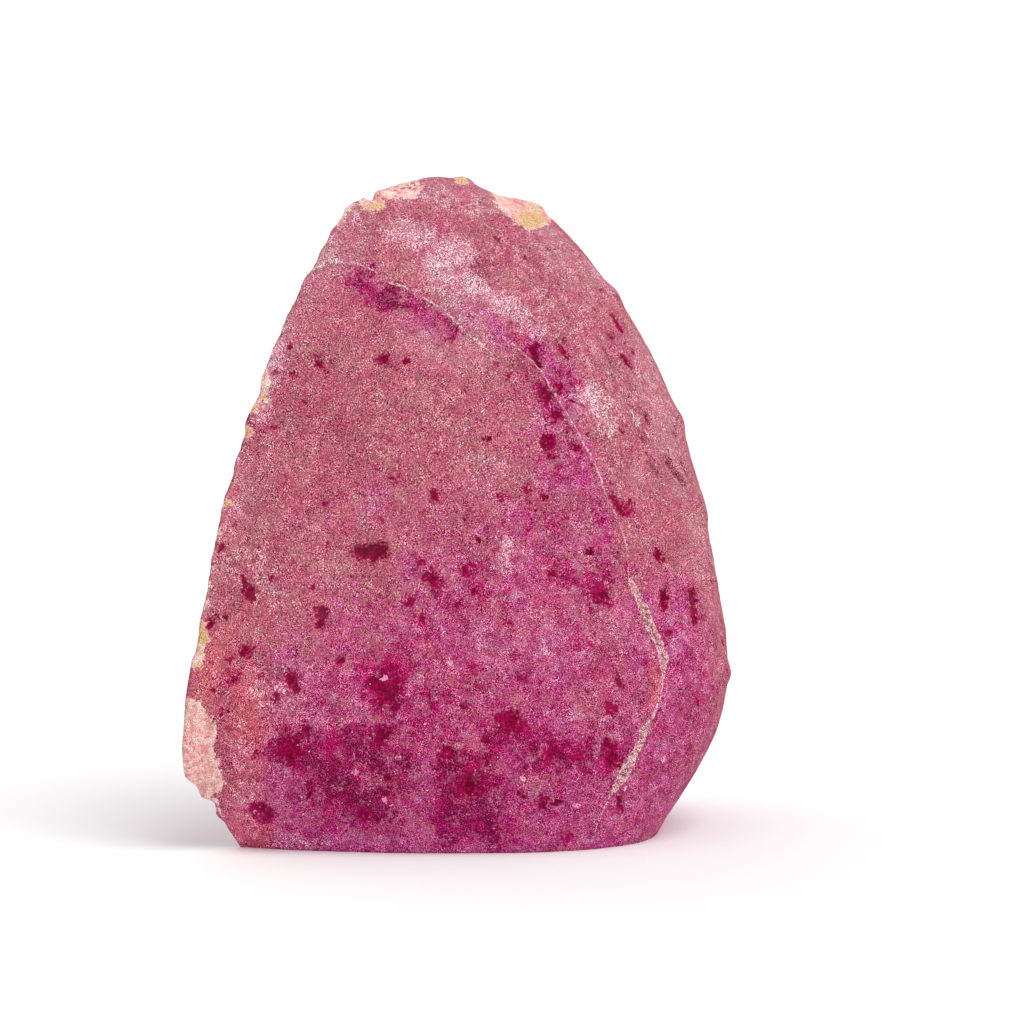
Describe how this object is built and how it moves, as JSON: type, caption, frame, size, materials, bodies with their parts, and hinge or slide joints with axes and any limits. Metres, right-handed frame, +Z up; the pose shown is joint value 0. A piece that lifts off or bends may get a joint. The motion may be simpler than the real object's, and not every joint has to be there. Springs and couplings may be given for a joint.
{
  "type": "agate geode cut base",
  "caption": "Dyed agate geode half that stands on its sawn foot, with a natural pitted rind, a polished sawn face and a pocket lined with quartz points.",
  "frame": {"origin": "centre of the bounding box on the sawn foot", "axes": "+Z up from the sawn foot; the sawn display face is vertical and faces -Y, the natural rind faces +Y"},
  "size_m": [0.1139, 0.049, 0.1229],
  "materials": {
    "agate_stone": "matte dyed rind, dusty rose to magenta, with a fine sugary grain; sawn face polished"
  },
  "bodies": {
    "root": {"geode": "agate_stone"}
  },
  "joints": []
}
